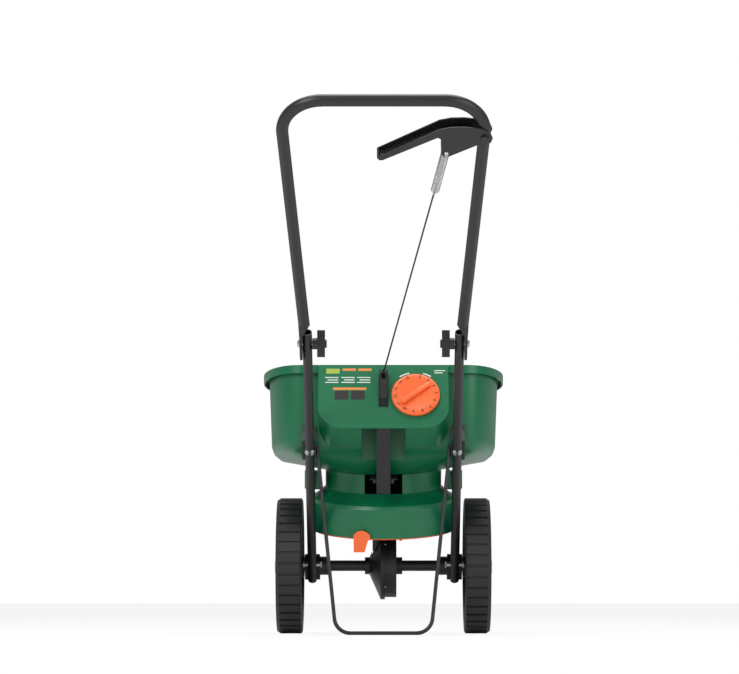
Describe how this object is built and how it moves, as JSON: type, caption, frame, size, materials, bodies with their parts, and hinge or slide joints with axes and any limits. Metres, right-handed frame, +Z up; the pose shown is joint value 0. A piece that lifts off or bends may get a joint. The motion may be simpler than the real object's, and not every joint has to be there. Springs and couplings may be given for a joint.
{
  "type": "drop spreader",
  "caption": "Push-along spreader with hopper, dial and lever panel, spinning disc, fold-down handle with trigger, wheels and wire stand.",
  "frame": {"origin": "centre of the footprint, on the ground", "axes": "+X across, to the operator's right, +Y away from the operator, +Z up"},
  "size_m": [0.4252, 0.9416, 0.8348],
  "materials": {
    "green_plastic": "smooth, slightly glossy",
    "orange_plastic": "smooth",
    "black_coat": "fine powder coat",
    "wheel_plastic": "moulded",
    "spring_steel": "plated wire",
    "black_plastic": "moulded",
    "zinc_steel": "zinc plated"
  },
  "bodies": {
    "chassis": {"hopper": "green_plastic", "control_panel": "green_plastic", "dial_pivot": "zinc_steel", "lever_pivot": "zinc_steel", "shroud": "green_plastic", "gear_case": "black_plastic", "case_cover": "black_plastic", "case_screws": "zinc_steel", "bracket_left": "black_plastic", "bracket_right": "black_plastic", "bracket_bolt_left": "zinc_steel", "bracket_bolt_right": "zinc_steel", "lower_tube_left": "black_coat", "lower_tube_right": "black_coat", "saddle_left": "black_plastic", "saddle_right": "black_plastic", "saddle_screw_left": "zinc_steel", "saddle_screw_right": "zinc_steel", "strut_left": "green_plastic", "strut_right": "green_plastic", "stand": "black_coat"},
    "dial": {"rate_dial": "orange_plastic"},
    "lever": {"control_lever": "black_plastic"},
    "gate": {"gate_plate": "black_plastic"},
    "guard": {"edge_guard": "orange_plastic"},
    "spinner": {"impeller": "black_plastic", "impeller_shaft": "zinc_steel", "pinion": "zinc_steel", "agitator": "black_plastic"},
    "drive": {"axle": "black_coat", "drive_gear": "zinc_steel", "wheel_right": "wheel_plastic", "cap_left": "zinc_steel", "cap_right": "zinc_steel"},
    "free_wheel": {"wheel_left": "wheel_plastic"},
    "handle": {"upper_handle": "black_coat", "bolt_left": "zinc_steel", "bolt_right": "zinc_steel", "trigger_bolt": "black_coat"},
    "knob_l": {"knob_left": "black_plastic"},
    "knob_r": {"knob_right": "black_plastic"},
    "trigger": {"trigger": "black_plastic", "trigger_pin": "zinc_steel"},
    "rod": {"spring": "spring_steel", "control_rod": "black_coat"}
  },
  "joints": [
    {"name": "handle_fold", "type": "hinge", "parent": "chassis", "child": "handle", "pos_m": [0, -0.04148, 0.48531], "axis": [1, 0, 0], "range_deg": [0, 95]},
    {"name": "knob_left_turn", "type": "hinge", "parent": "handle", "child": "knob_l", "pos_m": [-0.118, -0.04148, 0.48531], "axis": [1, 0, 0], "continuous": true},
    {"name": "knob_right_turn", "type": "hinge", "parent": "handle", "child": "knob_r", "pos_m": [0.118, -0.04148, 0.48531], "axis": [1, 0, 0], "continuous": true},
    {"name": "trigger_squeeze", "type": "hinge", "parent": "handle", "child": "trigger", "pos_m": [0.15714, -0.40829, 0.78235], "axis": [0, 0.6293, 0.7771], "range_deg": [0, 11.46], "stiffness_Nm_per_rad": 6, "springref_deg": -5.73},
    {"name": "rod_swing", "type": "hinge", "parent": "trigger", "child": "rod", "pos_m": [0.09814, -0.38226, 0.76127], "axis": [-0.0868, -0.6272, -0.774], "range_deg": [0, 12.06]},
    {"name": "lever_swing", "type": "hinge", "parent": "chassis", "child": "lever", "pos_m": [0, 0.12031, 0.368], "axis": [1, 0, 0], "range_deg": [0, 10.61]},
    {"name": "gate_slide", "type": "slide", "parent": "chassis", "child": "gate", "axis": [0, 0.9816, 0.1908], "range_m": [0, 0.0251]},
    {"name": "dial_turn", "type": "hinge", "parent": "chassis", "child": "dial", "pos_m": [0.0552, 0.10896, 0.40834], "axis": [0, -0.878, 0.4787], "range_deg": [0, 300]},
    {"name": "edge_guard_turn", "type": "hinge", "parent": "chassis", "child": "guard", "pos_m": [0, 0.35031, 0.1205], "axis": [0, -0.1908, 0.9816], "range_deg": [-20, 60]},
    {"name": "axle_spin", "type": "hinge", "parent": "chassis", "child": "drive", "pos_m": [0, 0.35031, 0.1205], "axis": [1, 0, 0], "continuous": true},
    {"name": "free_wheel_spin", "type": "hinge", "parent": "chassis", "child": "free_wheel", "pos_m": [-0.166, 0.35031, 0.1205], "axis": [1, 0, 0], "continuous": true},
    {"name": "impeller_spin", "type": "hinge", "parent": "chassis", "child": "spinner", "pos_m": [0, 0.35031, 0.1205], "axis": [0, -0.1908, 0.9816], "continuous": true}
  ],
  "couplings": [
    {"joint": "rod_swing", "follows": "trigger_squeeze", "ratio": 1.0518},
    {"joint": "lever_swing", "follows": "trigger_squeeze", "ratio": 0.925},
    {"joint": "gate_slide", "follows": "trigger_squeeze", "m_per_rad": 0.125},
    {"joint": "impeller_spin", "follows": "axle_spin", "ratio": 4.4}
  ]
}
